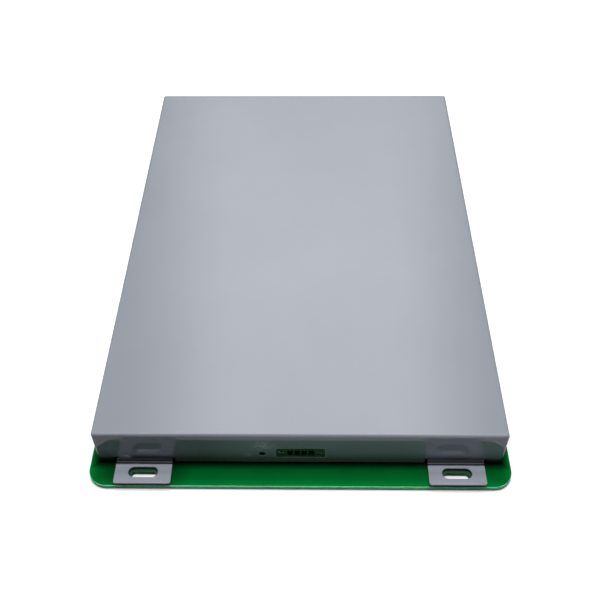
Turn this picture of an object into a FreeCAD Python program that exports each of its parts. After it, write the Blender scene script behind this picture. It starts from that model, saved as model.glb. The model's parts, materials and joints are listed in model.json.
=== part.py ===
import FreeCAD, Part
import math
import os

# Shielded RFID reader pad for a checkout counter, in millimetres.
#
# A folded sheet-metal case stands on a larger antenna board and shields its back. Four slotted tabs
# on the case and four matching slots in the board take the screws that hold the pad in a counter.
# The reader board stands on spacers inside the case, and its plug-in terminal and its status light
# face out through the front wall. A short coax lead feeds the tuning parts of the antenna loop.
#
# Frame: X across the pad, Y along it with the terminal side at -Y, Z up. The origin is the centre
# of the antenna board's underside.

V = FreeCAD.Vector
UP = V(0, 0, 1)
ALONG_X = V(1, 0, 0)
ALONG_Y = V(0, 1, 0)

# ---- antenna board
BOARD_W = 228.6
BOARD_L = 348.2
BOARD_T = 3.0
BOARD_CORNER_R = 10.7
LOOP_X = 84.0  # centre line of the antenna loop
LOOP_FRONT = -138.0
LOOP_BACK = 144.0
LOOP_TRACK = 10.0
LOOP_T = 0.1
LOOP_CORNER_R = 14.0
FEED_X = 9.0  # centre line of each feed track
FEED_TRACK = 8.0
FEED_END = -54.0

# ---- case
CASE_W = 220.0
CASE_L = 319.4
CASE_RISE = 26.2  # top of the case above the antenna board
SHEET_T = 1.2
BEND_R = 1.6  # outside radius of the folded edges
WALL_GAP = 0.9  # under the walls, between the tabs
TAB_GAP = 1.2  # under the tabs
TAB_X = 84.3  # centre of each tab from the pad's centre line
TAB_W = 30.6
TAB_REACH = 14.3  # beyond the wall
TAB_BEND_R = 2.0  # inside radius where the tab folds out
TAB_CORNER_R = 1.2
NOTCH_W = 1.3  # bend relief beside each tab
SLOT_L = 16.0
SLOT_W = 6.4
SLOT_REACH = 7.3  # centre of the tabs' slots beyond the wall
BOARD_SLOT_L = 14.0
BOARD_SLOT_W = 4.4
BOARD_SLOT_REACH = 7.7

# ---- fixings
PILLAR_X = 101.0
PILLAR_Y = 147.0
PILLAR_AF = 6.5
PILLAR_BORE = 11.0
SPACER_H = 4.6
SPACER_AF = 5.5
SCREW_R = 1.5
THREAD_R = 1.52  # tapped hole, drawn at the thread's crest
CLEAR_R = 1.65
CSK_R = 3.0  # countersink at the board's underside
CSK_SUNK = 0.1  # head below the underside
CASE_SCREW_L = 10.0
SPACER_SCREW_L = 5.4
PAN_SCREW_L = 4.0
PAN_R = 2.75
PAN_H = 2.1
WASHER_R = 2.8
WASHER_T = 0.8
FIT = 0.02  # between round parts that sit in each other

# ---- reader board
READER_W = 130.0
READER_L = 88.0
READER_T = 1.6
READER_EDGE_GAP = 1.0  # to the inner face of the front wall
READER_HOLE_X = 59.0
READER_HOLE_INSET = 6.0

# ---- plug-in terminal
PITCH = 3.81
POLES = 4
TERMINAL_X = 0.5  # middle of the terminal and its port
HEADER_W = 26.0
HEADER_H = 7.25
HEADER_D = 9.2
HEADER_SETBACK = 0.3  # behind the outer face of the wall
PORT_W = 26.3
PORT_H = 8.0
PORT_CORNER_R = 0.7
CAVITY_W = 2.9
CAVITY_H = 5.6
CAVITY_CUT = 0.8  # corner cut at the top of each cavity
CAVITY_D = 7.6
PIN_SIDE = 0.9
PIN_TIP = 1.6  # behind the terminal's face
PIN_TAIL = 1.6  # below the reader board
PIN_HOLE_R = 0.8
NUT_X = 10.3
NUT_R = 1.9
NUT_L = 4.5
NUT_SETBACK = 0.6
NUT_BORE_R = 1.0

# ---- status light
LED_X = -20.2
LED_RISE = 2.6  # axis above the reader board
LED_R = 1.5
LED_FLANGE_R = 1.8
LED_FLANGE_T = 1.0
LED_L = 4.6
LED_GAP = 0.9  # to the inner face of the wall
LED_HOLE_R = 1.6
HOLDER_SIDE = 5.0
HOLDER_D = 5.6
HOLDER_COLLAR = 1.4  # in front of the flange
LEAD_SIDE = 0.45
LEAD_SPREAD = 0.55
LEAD_RUN = 2.2

# ---- parts on the reader board, placed from the middle of its front edge
CONTROLLER_AT = (-8.0, 47.0)
CONTROLLER_SIDE = 10.0
RF_CHIP_SIDE = 8.0
INTERFACE_AT = [(-38.0, 25.0), (-38.0, 40.0)]
INTERFACE_W = 4.0
INTERFACE_L = 9.9
CRYSTAL_AT = (-21.0, 47.0)
SHIELD_AT = (34.0, 54.0)
SHIELD_W = 44.0
SHIELD_L = 36.0
SHIELD_H = 6.0
SHIELD_T = 0.3
SHIELD_LIP = 2.5
SHIELD_LIFT = 0.4  # bottom of the lid's skirt above the board
CAPACITOR_AT = [(22.0, 14.0), (32.0, 14.0), (42.0, 14.0)]
CAPACITOR_R = 4.0
CAPACITOR_H = 10.5
CAPACITOR_BASE = 8.6
CAPACITOR_BASE_T = 0.8
CHOKE_AT = (-47.0, 62.0)
CHOKE_SIDE = 12.0
CHOKE_H = 5.6
CHOKE_FOOT = 0.2
REGULATOR_AT = (-43.0, 78.0)
REGULATOR_W = 10.2
REGULATOR_L = 8.6
REGULATOR_H = 4.3
FUSE_AT = (-35.0, 9.0)
SERVICE_AT = (-22.0, 76.0)
RF_OUT_AT = (48.0, 80.0)

# ---- tuning parts on the antenna board
RF_IN_AT = (0.0, -24.0)
SOCKET_H = 4.2
SOCKET_R = 1.8
SOCKET_BASE = 5.4
SOCKET_BASE_T = 1.0
PLUG_R = 2.6
PLUG_H = 4.0
PLUG_LIFT = 1.6
CRIMP_R = 2.1
CRIMP_L = 7.0
COAX_R = 1.3
COAX_START = 2.5  # from the plug's centre line
TRIMMER_X = 17.0
TRIMMER_Y = -44.0
TRIMMER_SIDE = 8.0
TRIMMER_H = 3.4
ROTOR_R = 2.9
ROTOR_H = 1.4
ROTOR_SHAFT_R = 0.8
RUNNING = 0.05  # clearance round each rotor
TORUS_AT = (0.0, -39.0)
TORUS_R = 4.5
TORUS_WIRE_R = 0.3
TORUS_CORE_R = 1.5
TORUS_TURNS = 12
TUNING_ROW_Y = -60.0
DAMPING_ROW_Y = -53.0

# ---- worked out from the dimensions above
CASE_TOP = BOARD_T + CASE_RISE
CEILING = CASE_TOP - SHEET_T
WALL_Y = CASE_L / 2
WALL_INNER_Y = WALL_Y - SHEET_T
WALL_Z = BOARD_T + WALL_GAP
TAB_Z = BOARD_T + TAB_GAP
NOTCH_TOP = TAB_Z + SHEET_T + TAB_BEND_R
READER_BOTTOM = BOARD_T + SPACER_H
READER_TOP = READER_BOTTOM + READER_T
READER_FRONT = -WALL_INNER_Y + READER_EDGE_GAP
HEADER_FRONT = -WALL_Y + HEADER_SETBACK
HEADER_MID_Z = READER_TOP + HEADER_H / 2
PIN_Z = HEADER_MID_Z - PIN_SIDE / 2
PIN_BEND_Y = HEADER_FRONT + HEADER_D + 1.0
PIN_X = [TERMINAL_X + (i - (POLES - 1) / 2) * PITCH for i in range(POLES)]
LED_Z = READER_TOP + LED_RISE
LED_TIP = -WALL_INNER_Y + LED_GAP
LED_BACK = LED_TIP + LED_L
READER_HOLES = [
    (sx * READER_HOLE_X, READER_FRONT + inset)
    for sx in (-1, 1)
    for inset in (READER_HOLE_INSET, READER_L - READER_HOLE_INSET)
]
PILLARS = [(sx * PILLAR_X, sy * PILLAR_Y) for sx in (-1, 1) for sy in (-1, 0, 1)]
CORNERS = [(sx, sy) for sx in (-1, 1) for sy in (-1, 1)]
TRIMMERS = {"a": -TRIMMER_X, "b": TRIMMER_X}


# ---- helpers ------------------------------------------------------------------------------------
def block(w, l, h, x=0.0, y=0.0, z=0.0):
    """A box centred on x and y, standing on z."""
    return Part.makeBox(w, l, h, V(x - w / 2, y - l / 2, z))


def rod(r, h, x, y, z, axis=UP):
    """A cylinder that starts at x, y, z."""
    return Part.makeCylinder(r, h, V(x, y, z), axis)


def chosen(shape, keep):
    """The edges for which keep(centre, direction) holds."""
    return [e for e in shape.Edges if keep(e.CenterOfMass, e.tangentAt(e.FirstParameter))]


def upright(_, direction):
    return abs(direction.z) > 0.9


def at_height(z):
    return lambda centre, _: abs(centre.z - z) < 0.01


def plate(w, l, h, r, x=0.0, y=0.0, z=0.0):
    """A flat plate with rounded corners."""
    form = block(w, l, h, x, y, z)
    return form.makeFillet(r, chosen(form, upright))


def slots(length, width, reach, z, h):
    """The solids that fill four slots along X, one at each tab, centred reach beyond the wall."""
    half = (length - width) / 2
    form = block(2 * half, width, h, z=z).fuse([rod(width / 2, h, s * half, 0, z) for s in (-1, 1)])
    form = form.removeSplitter()
    y = WALL_Y + reach
    return [form.translated(V(sx * TAB_X, sy * y, 0)) for sx, sy in CORNERS]


def hexagon(af, h, x, y, z):
    """A hexagonal bar, af across its flats."""
    r = af / math.sqrt(3)
    angles = [math.radians(60 * i) for i in range(7)]
    ring = [V(x + r * math.cos(a), y + r * math.sin(a), z) for a in angles]
    return Part.Face(Part.makePolygon(ring)).extrude(V(0, 0, h))


def swept(points, h):
    """A closed outline of points and (middle, end) arcs, extruded by the vector h."""
    edges = []
    here = points[0]
    for p in points[1:] + points[:1]:
        if isinstance(p, tuple):
            edges.append(Part.Arc(here, p[0], p[1]).toShape())
            here = p[1]
        else:
            edges.append(Part.LineSegment(here, p).toShape())
            here = p
    return Part.Face(Part.Wire(edges)).extrude(h)


def joined(first, *others):
    return first.fuse(list(others)).removeSplitter()


def mirrored(shape, sx, sy):
    """The shape built for +X and +Y, reflected into another quarter of the pad."""
    if sx < 0:
        shape = shape.mirror(V(0, 0, 0), ALONG_X)
    if sy < 0:
        shape = shape.mirror(V(0, 0, 0), ALONG_Y)
    return shape


def on_reader(at):
    """A place on the reader board, as x and y of the pad."""
    return at[0], READER_FRONT + at[1]


def cross(x, y, z, depth, span=3.0, width=0.8):
    """A cross-shaped cutter that starts at z."""
    return joined(block(span, width, depth, x, y, z), block(width, span, depth, x, y, z))


# ---- case ---------------------------------------------------------------------------------------
def case_form(inset, r, z0):
    """The case's outer form, or its inner form when inset by the sheet."""
    form = block(CASE_W - 2 * inset, CASE_L - 2 * inset, CASE_TOP - inset - z0, z=z0)
    return form.makeFillet(r, chosen(form, lambda c, d: abs(d.z) > 0.9 or c.z > z0 + 1))


def tab():
    """The tab at +X, +Y: down from the wall, round the fold and out along the board."""
    high = TAB_Z + SHEET_T
    mid_y, mid_z = WALL_Y + TAB_BEND_R, NOTCH_TOP
    tip = WALL_Y + TAB_REACH
    x = TAB_X - TAB_W / 2

    def on_fold(r):
        return V(x, mid_y - r * math.sqrt(0.5), mid_z - r * math.sqrt(0.5))

    form = swept(
        [
            V(x, WALL_INNER_Y, mid_z),
            (on_fold(TAB_BEND_R + SHEET_T), V(x, mid_y, TAB_Z)),
            V(x, tip, TAB_Z),
            V(x, tip, high),
            V(x, mid_y, high),
            (on_fold(TAB_BEND_R), V(x, WALL_Y, mid_z)),
        ],
        V(TAB_W, 0, 0),
    )
    outer = chosen(form, lambda c, d: abs(d.z) > 0.9 and abs(c.y - tip) < 0.1)
    return form.makeFillet(TAB_CORNER_R, outer)


def tab_window():
    """The cut in the wall that the tab at +X, +Y and its two bend reliefs take up."""
    w = TAB_W + 2 * NOTCH_W
    return block(w, 4 * SHEET_T, NOTCH_TOP - BOARD_T, TAB_X, WALL_Y, BOARD_T)


def port_cutter():
    """The opening for the terminal, as a solid through the front wall."""
    corner = V(TERMINAL_X - PORT_W / 2, -WALL_Y - SHEET_T, HEADER_MID_Z - PORT_H / 2)
    form = Part.makeBox(PORT_W, 3 * SHEET_T, PORT_H, corner)
    return form.makeFillet(PORT_CORNER_R, chosen(form, lambda _, d: abs(d.y) > 0.9))


def shield_case():
    shell = case_form(0.0, BEND_R, WALL_Z).cut(case_form(SHEET_T, BEND_R - SHEET_T, BOARD_T))
    shell = shell.cut([mirrored(tab_window(), sx, sy) for sx, sy in CORNERS])
    shell = shell.fuse([mirrored(tab(), sx, sy) for sx, sy in CORNERS])
    tab_slots = slots(SLOT_L, SLOT_W, SLOT_REACH, TAB_Z, SHEET_T)
    led_hole = rod(LED_HOLE_R, 3 * SHEET_T, LED_X, -WALL_Y - SHEET_T, LED_Z, ALONG_Y)
    return shell.cut(tab_slots + [led_hole, port_cutter()]).removeSplitter()


def case_pillars():
    """Hexagonal pillars welded under the case's top and tapped from below."""
    pillars = []
    for x, y in PILLARS:
        bar = hexagon(PILLAR_AF, CEILING - BOARD_T, x, y, BOARD_T)
        pillars.append(bar.cut(rod(THREAD_R, PILLAR_BORE, x, y, BOARD_T)))
    return Part.makeCompound(pillars)


# ---- antenna board ------------------------------------------------------------------------------
def loop_form(grow):
    """The plate inside the loop's centre line grown by a distance, as thick as the copper."""
    w = 2 * LOOP_X + 2 * grow
    l = LOOP_BACK - LOOP_FRONT + 2 * grow
    return plate(w, l, LOOP_T, LOOP_CORNER_R + grow, 0, (LOOP_FRONT + LOOP_BACK) / 2)


def antenna_loop():
    """One turn of wide copper with a feed gap, and two tracks from the gap to the tuning parts."""
    ring = loop_form(LOOP_TRACK / 2).cut(loop_form(-LOOP_TRACK / 2))
    gap = 2 * FEED_X - FEED_TRACK
    ring = ring.cut(block(gap, 2 * LOOP_TRACK, LOOP_T, 0, LOOP_FRONT))
    run = FEED_END - LOOP_FRONT
    feeds = [block(FEED_TRACK, run, LOOP_T, s * FEED_X, LOOP_FRONT + run / 2) for s in (-1, 1)]
    return joined(ring, *feeds)


def countersunk_hole(x, y):
    taper = Part.makeCone(CSK_R, CLEAR_R, CSK_R - CLEAR_R, V(x, y, 0), UP)
    return rod(CLEAR_R, BOARD_T, x, y, 0).fuse(taper)


def antenna_board():
    board = plate(BOARD_W, BOARD_L, BOARD_T, BOARD_CORNER_R)
    holes = [countersunk_hole(x, y) for x, y in PILLARS + READER_HOLES]
    screw_slots = slots(BOARD_SLOT_L, BOARD_SLOT_W, BOARD_SLOT_REACH, 0, BOARD_T)
    return board.cut(holes + screw_slots + [antenna_loop()])


def countersunk_screw(x, y, length):
    """A screw from below, its head just inside the board's underside."""
    head_r = CSK_R - CSK_SUNK - FIT
    head = Part.makeCone(head_r, SCREW_R, head_r - SCREW_R, V(x, y, CSK_SUNK), UP)
    screw = head.fuse(rod(SCREW_R, length - CSK_SUNK, x, y, CSK_SUNK))
    return screw.cut(cross(x, y, CSK_SUNK, 1.1))


def case_screws():
    return Part.makeCompound([countersunk_screw(x, y, CASE_SCREW_L) for x, y in PILLARS])


def spacer_screws():
    return Part.makeCompound([countersunk_screw(x, y, SPACER_SCREW_L) for x, y in READER_HOLES])


# ---- reader board and its fixings ---------------------------------------------------------------
def reader_board():
    middle = READER_FRONT + READER_L / 2
    board = plate(READER_W, READER_L, READER_T, 2.0, 0, middle, READER_BOTTOM)
    holes = [rod(CLEAR_R, READER_T, x, y, READER_BOTTOM) for x, y in READER_HOLES]
    tails = [rod(PIN_HOLE_R, READER_T, x, PIN_BEND_Y, READER_BOTTOM) for x in PIN_X]
    return board.cut(holes + tails)


def reader_board_spacers():
    spacers = []
    for x, y in READER_HOLES:
        bar = hexagon(SPACER_AF, SPACER_H, x, y, BOARD_T)
        spacers.append(bar.cut(rod(THREAD_R, SPACER_H, x, y, BOARD_T)))
    return Part.makeCompound(spacers)


def lock_washers():
    """Split spring washers under the pan heads."""
    washers = []
    for x, y in READER_HOLES:
        ring = rod(WASHER_R, WASHER_T, x, y, READER_TOP)
        ring = ring.cut(rod(CLEAR_R, WASHER_T, x, y, READER_TOP))
        washers.append(ring.cut(block(1.6, 0.5, WASHER_T, x + 2.2, y, READER_TOP)))
    return Part.makeCompound(washers)


def pan_screw(x, y):
    """A pan-head screw that sits on its washer."""
    z = READER_TOP + WASHER_T
    head = rod(PAN_R, PAN_H, x, y, z)
    head = head.makeFillet(1.0, chosen(head, at_height(z + PAN_H)))
    screw = head.fuse(rod(SCREW_R, PAN_SCREW_L, x, y, z - PAN_SCREW_L))
    return screw.cut(cross(x, y, z + PAN_H - 1.2, 1.2, span=2.8))


def reader_board_screws():
    return Part.makeCompound([pan_screw(x, y) for x, y in READER_HOLES])


# ---- plug-in terminal ---------------------------------------------------------------------------
def cavity(x):
    """One pole's socket, with its two upper corners cut off."""
    low = HEADER_MID_Z - CAVITY_H / 2
    high = low + CAVITY_H
    half = CAVITY_W / 2
    outline = [(-half, low), (half, low), (half, high - CAVITY_CUT), (half - CAVITY_CUT, high)]
    outline += [(CAVITY_CUT - half, high), (-half, high - CAVITY_CUT)]
    return swept([V(x + dx, HEADER_FRONT, z) for dx, z in outline], V(0, CAVITY_D, 0))


def terminal_header():
    """The plastic body, with its sockets, pin holes, nut pockets and coding grooves."""
    corner = V(TERMINAL_X - HEADER_W / 2, HEADER_FRONT, READER_TOP)
    body = Part.makeBox(HEADER_W, HEADER_D, HEADER_H, corner)
    body = body.makeFillet(0.4, chosen(body, lambda c, d: abs(d.y) > 0.9 and c.z > HEADER_MID_Z))
    cuts = []
    for x in PIN_X:
        hole = V(x - PIN_SIDE / 2, HEADER_FRONT, PIN_Z)
        groove = V(x - 0.65, HEADER_FRONT, READER_TOP + HEADER_H - 0.5)
        cuts.append(cavity(x))
        cuts.append(Part.makeBox(PIN_SIDE, HEADER_D, PIN_SIDE, hole))
        cuts.append(Part.makeBox(1.3, HEADER_D - 2.0, 1.0, groove))
    for s in (-1, 1):
        depth = NUT_L + NUT_SETBACK
        cuts.append(rod(NUT_R + FIT, depth, TERMINAL_X + s * NUT_X, HEADER_FRONT, HEADER_MID_Z, ALONG_Y))
    return body.cut(cuts)


def terminal_pins():
    """Square pins that run back through the terminal and bend down through the board."""
    pins = []
    for x in PIN_X:
        start = HEADER_FRONT + PIN_TIP
        run = PIN_BEND_Y + PIN_SIDE / 2 - start
        drop = PIN_Z + PIN_SIDE - READER_BOTTOM + PIN_TAIL
        flat = Part.makeBox(PIN_SIDE, run, PIN_SIDE, V(x - PIN_SIDE / 2, start, PIN_Z))
        down = block(PIN_SIDE, PIN_SIDE, drop, x, PIN_BEND_Y, READER_BOTTOM - PIN_TAIL)
        pins.append(joined(flat, down))
    return Part.makeCompound(pins)


def header_nuts():
    """Threaded inserts at both ends of the terminal, for the plug's two screws."""
    nuts = []
    for s in (-1, 1):
        x, y, z = TERMINAL_X + s * NUT_X, HEADER_FRONT + NUT_SETBACK, HEADER_MID_Z
        mouth = Part.makeCone(1.35, NUT_BORE_R, 0.35, V(x, y, z), ALONG_Y)
        bore = rod(NUT_BORE_R, NUT_L - 0.8, x, y, z, ALONG_Y)
        nuts.append(rod(NUT_R, NUT_L, x, y, z, ALONG_Y).cut([bore, mouth]))
    return Part.makeCompound(nuts)


# ---- status light -------------------------------------------------------------------------------
def status_led():
    """A light with a domed tip and a flange, lying along Y behind its hole."""
    dome = Part.makeSphere(LED_R, V(LED_X, LED_TIP + LED_R, LED_Z))
    barrel = rod(LED_R, LED_L - LED_R, LED_X, LED_TIP + LED_R, LED_Z, ALONG_Y)
    flange = rod(LED_FLANGE_R, LED_FLANGE_T, LED_X, LED_BACK - LED_FLANGE_T, LED_Z, ALONG_Y)
    return joined(barrel, dome, flange)


def led_holder():
    """The block that carries the light square to the wall, slit at the back for its leads."""
    flange_y = LED_BACK - LED_FLANGE_T
    front = flange_y - HOLDER_COLLAR
    corner = V(LED_X - HOLDER_SIDE / 2, front, READER_TOP)
    form = Part.makeBox(HOLDER_SIDE, HOLDER_D, LED_RISE + HOLDER_SIDE / 2, corner)
    form = form.makeFillet(0.6, chosen(form, lambda c, d: abs(d.y) > 0.9 and c.z > LED_Z))
    collar = rod(LED_R + FIT, HOLDER_COLLAR, LED_X, front, LED_Z, ALONG_Y)
    seat = rod(LED_FLANGE_R + FIT, LED_FLANGE_T, LED_X, flange_y, LED_Z, ALONG_Y)
    slit = Part.makeBox(2.6, HOLDER_D, LED_RISE + 0.8, V(LED_X - 1.3, LED_BACK, READER_TOP))
    return form.cut([collar, seat, slit])


def led_leads():
    """Two wires from the light's back, bent down to the board."""
    leads = []
    for s in (-1, 1):
        x = LED_X + s * LEAD_SPREAD
        corner = V(x - LEAD_SIDE / 2, LED_BACK, LED_Z - LEAD_SIDE / 2)
        flat = Part.makeBox(LEAD_SIDE, LEAD_RUN, LEAD_SIDE, corner)
        down = block(LEAD_SIDE, LEAD_SIDE, LED_RISE, x, LED_BACK + LEAD_RUN, READER_TOP)
        leads.append(joined(flat, down))
    return Part.makeCompound(leads)


# ---- chips --------------------------------------------------------------------------------------
def gull_lead(start, side, width, stand, reach, t=0.2):
    """One lead from start on a chip's side: out along the unit vector side, down, and out again."""
    across = V(-side.y, side.x, 0) * width
    base = start - across * 0.5
    knee = 0.45 * reach
    profile = [(0, stand), (0, stand + t), (knee + t, stand + t), (knee + t, t)]
    profile += [(reach + t, t), (reach + t, 0), (knee, 0), (knee, stand)]
    return swept([base + side * out + UP * up for out, up in profile], across)


def lead_rows(x, y, w, l, count, pitch, width, sides):
    """Leads along the sides of a chip that stands on the reader board."""
    leads = []
    for sx, sy in sides:
        for i in range(count):
            step = (i - (count - 1) / 2) * pitch
            start = V(x + sx * w / 2 - sy * step, y + sy * l / 2 + sx * step, READER_TOP)
            leads.append(gull_lead(start, V(sx, sy, 0), width, 0.55, 1.0))
    return leads


def chip(w, l, h, x, y, lift=0.15):
    """A moulded chip body with a chamfered top and a first-pin dimple."""
    top = READER_TOP + lift + h
    body = block(w, l, h, x, y, READER_TOP + lift)
    body = body.makeChamfer(0.25, chosen(body, at_height(top)))
    return body.cut(rod(0.45, 0.1, x - w / 2 + 1.2, y - l / 2 + 1.2, top - 0.1))


def controller_chip():
    return chip(CONTROLLER_SIDE, CONTROLLER_SIDE, 1.4, *on_reader(CONTROLLER_AT))


def controller_leads():
    x, y = on_reader(CONTROLLER_AT)
    sides = [(1, 0), (-1, 0), (0, 1), (0, -1)]
    rows = lead_rows(x, y, CONTROLLER_SIDE, CONTROLLER_SIDE, 16, 0.5, 0.24, sides)
    return Part.makeCompound(rows)


def interface_chips():
    places = [on_reader(at) for at in INTERFACE_AT]
    return Part.makeCompound([chip(INTERFACE_W, INTERFACE_L, 1.5, x, y) for x, y in places])


def interface_leads():
    leads = []
    for x, y in [on_reader(at) for at in INTERFACE_AT]:
        leads += lead_rows(x, y, INTERFACE_W, INTERFACE_L, 8, 1.27, 0.42, [(1, 0), (-1, 0)])
    return Part.makeCompound(leads)


def rf_chip():
    """The radio chip under the shield, seated flat on the board."""
    x, y = on_reader(SHIELD_AT)
    return chip(RF_CHIP_SIDE, RF_CHIP_SIDE, 1.2, x - 6.0, y, lift=0.0)


def crystal_can():
    """The metal crystal beside the controller."""
    x, y = on_reader(CRYSTAL_AT)
    flange = plate(4.6, 11.3, 0.5, 2.2, x, y, READER_TOP)
    cap = plate(3.8, 10.2, 3.3, 1.8, x, y, READER_TOP + 0.5)
    cap = cap.makeFillet(0.5, chosen(cap, at_height(READER_TOP + 3.8)))
    return joined(flange, cap)


# ---- radio shield -------------------------------------------------------------------------------
def rf_shield_frame():
    """The soldered fence, with a lip round its top that carries the lid."""
    x, y = on_reader(SHIELD_AT)
    gap = SHIELD_T + 0.1
    w, l, h = SHIELD_W - 2 * gap, SHIELD_L - 2 * gap, SHIELD_H - SHIELD_T
    fence = block(w, l, h, x, y, READER_TOP)
    room = block(w - 2 * SHIELD_T, l - 2 * SHIELD_T, h - SHIELD_T, x, y, READER_TOP)
    mouth = block(w - 2 * SHIELD_LIP, l - 2 * SHIELD_LIP, h, x, y, READER_TOP)
    return fence.cut([room, mouth])


def rf_shield_lid():
    """The snap-on lid, with rows of vent holes."""
    x, y = on_reader(SHIELD_AT)
    z = READER_TOP + SHIELD_LIFT
    h = SHIELD_H - SHIELD_LIFT
    lid = block(SHIELD_W, SHIELD_L, h, x, y, z)
    lid = lid.makeFillet(0.8, chosen(lid, lambda c, d: abs(d.z) > 0.9 or c.z > z + 0.1 + h / 2))
    inner = block(SHIELD_W - 2 * SHIELD_T, SHIELD_L - 2 * SHIELD_T, h - SHIELD_T, x, y, z)
    vents = [
        rod(1.1, 2.0, x + (i - 2) * 7.0, y + (j - 1) * 9.0, READER_TOP + SHIELD_H - 1.0)
        for i in range(5)
        for j in range(3)
    ]
    return lid.cut([inner] + vents)


# ---- power parts --------------------------------------------------------------------------------
def capacitor_bases():
    bases = []
    for x, y in [on_reader(at) for at in CAPACITOR_AT]:
        bases.append(plate(CAPACITOR_BASE, CAPACITOR_BASE, CAPACITOR_BASE_T, 1.0, x, y, READER_TOP))
    return Part.makeCompound(bases)


def bulk_capacitors():
    """Electrolytic cans with a crimped groove and a scored top."""
    cans = []
    for x, y in [on_reader(at) for at in CAPACITOR_AT]:
        z = READER_TOP + CAPACITOR_BASE_T
        top = z + CAPACITOR_H
        can = rod(CAPACITOR_R, CAPACITOR_H, x, y, z)
        can = can.makeFillet(0.5, chosen(can, at_height(top)))
        groove = rod(CAPACITOR_R + 1.0, 0.8, x, y, z + 1.4)
        groove = groove.cut(rod(CAPACITOR_R - 0.35, 0.8, x, y, z + 1.4))
        cans.append(can.cut([groove, cross(x, y, top - 0.15, 0.15, span=5.0, width=0.3)]))
    return Part.makeCompound(cans)


def power_choke():
    """A square shielded choke with rounded corners and a dished top."""
    x, y = on_reader(CHOKE_AT)
    z = READER_TOP + CHOKE_FOOT
    core = plate(CHOKE_SIDE, CHOKE_SIDE, CHOKE_H, 2.4, x, y, z)
    core = core.makeFillet(0.4, chosen(core, at_height(z + CHOKE_H)))
    return core.cut(rod(4.2, 0.4, x, y, z + CHOKE_H - 0.4))


def choke_terminals():
    x, y = on_reader(CHOKE_AT)
    feet = [block(2.2, 4.0, CHOKE_FOOT, x + s * 5.4, y, READER_TOP) for s in (-1, 1)]
    return Part.makeCompound(feet)


def voltage_regulator():
    x, y = on_reader(REGULATOR_AT)
    body = block(REGULATOR_W, REGULATOR_L, REGULATOR_H, x, y, READER_TOP + 0.1)
    return body.makeChamfer(0.6, chosen(body, at_height(READER_TOP + 0.1 + REGULATOR_H)))


def regulator_metal():
    """The regulator's cooling tab and its three leads."""
    x, y = on_reader(REGULATOR_AT)
    half = REGULATOR_W / 2
    metal = [Part.makeBox(1.4, 10.0, 1.3, V(x + half, y - 5.0, READER_TOP))]
    for i in (-1, 0, 1):
        start = V(x - half, y + i * 2.54, READER_TOP)
        metal.append(gull_lead(start, V(-1, 0, 0), 0.8, 2.2, 4.0))
    return Part.makeCompound(metal)


def input_fuse():
    """The moulded fuse beside the terminal."""
    x, y = on_reader(FUSE_AT)
    return plate(8.5, 4.5, 7.6, 0.8, x, y, READER_TOP)


# ---- service header and small parts -------------------------------------------------------------
def service_header():
    """A two-row box header, open above, with a key slot in its wall."""
    x, y = on_reader(SERVICE_AT)
    shroud = block(14.0, 8.8, 9.0, x, y, READER_TOP)
    room = block(12.0, 6.8, 7.2, x, y, READER_TOP + 1.8)
    key = block(3.6, 3.0, 6.0, x, y - 4.4, READER_TOP + 3.0)
    return shroud.cut([room, key])


def service_pins():
    x, y = on_reader(SERVICE_AT)
    pins = [
        block(0.64, 0.64, 6.4, x + (i - 1.5) * 2.54, y + (j - 0.5) * 2.54, READER_TOP + 1.8)
        for i in range(4)
        for j in range(2)
    ]
    return Part.makeCompound(pins)


def chip_passives():
    """Rows of small resistors and capacitors: start, number, step, and whether the row runs along Y."""
    rows = [
        ((-25.0, 16.0), 6, 2.6, False),
        ((-25.0, 22.0), 6, 2.6, False),
        ((-20.0, 30.0), 8, 3.0, False),
        ((20.0, 30.0), 9, 3.4, False),
        ((6.0, 40.0), 6, 2.6, True),
        ((0.0, 36.0), 5, 2.6, True),
        ((-30.0, 52.0), 5, 3.0, True),
        ((-58.0, 30.0), 6, 3.2, True),
        ((60.5, 26.0), 6, 3.2, True),
    ]
    parts = []
    for at, count, step, along_y in rows:
        x, y = on_reader(at)
        for i in range(count):
            if along_y:
                parts.append(block(2.0, 1.25, 0.65, x, y + i * step, READER_TOP))
            else:
                parts.append(block(1.25, 2.0, 0.65, x + i * step, y, READER_TOP))
    return Part.makeCompound(parts)


# ---- antenna feed -------------------------------------------------------------------------------
def reader_socket_at():
    return V(*on_reader(RF_OUT_AT), READER_TOP)


def antenna_socket_at():
    return V(*RF_IN_AT, BOARD_T)


def coax_socket(at):
    """An upright push-on socket."""
    base = plate(SOCKET_BASE, SOCKET_BASE, SOCKET_BASE_T, 0.5, at.x, at.y, at.z)
    barrel = rod(SOCKET_R, SOCKET_H - SOCKET_BASE_T, at.x, at.y, at.z + SOCKET_BASE_T)
    return joined(base, barrel).cut(rod(1.2, SOCKET_H - 1.2, at.x, at.y, at.z + 1.2))


def rf_socket_reader():
    return coax_socket(reader_socket_at())


def rf_socket_antenna():
    return coax_socket(antenna_socket_at())


def crimp_axis(at):
    return at + UP * (PLUG_LIFT + PLUG_H - CRIMP_R)


def coax_plug(at, heading):
    """A right-angle push-on plug over a socket, with its crimp towards heading."""
    skirt = rod(PLUG_R, PLUG_H, at.x, at.y, at.z + PLUG_LIFT)
    axis = crimp_axis(at)
    body = skirt.fuse(Part.makeCylinder(CRIMP_R, CRIMP_L, axis, heading))
    barrel = rod(SOCKET_R + FIT, SOCKET_H - SOCKET_BASE_T, at.x, at.y, at.z + SOCKET_BASE_T)
    lead = Part.makeCylinder(COAX_R + FIT, CRIMP_L, axis + heading * COAX_START, heading)
    return body.cut([barrel, lead])


def feed_plugs():
    at_reader = coax_plug(reader_socket_at(), ALONG_Y)
    at_antenna = coax_plug(antenna_socket_at(), ALONG_X)
    return Part.makeCompound([at_reader, at_antenna])


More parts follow.
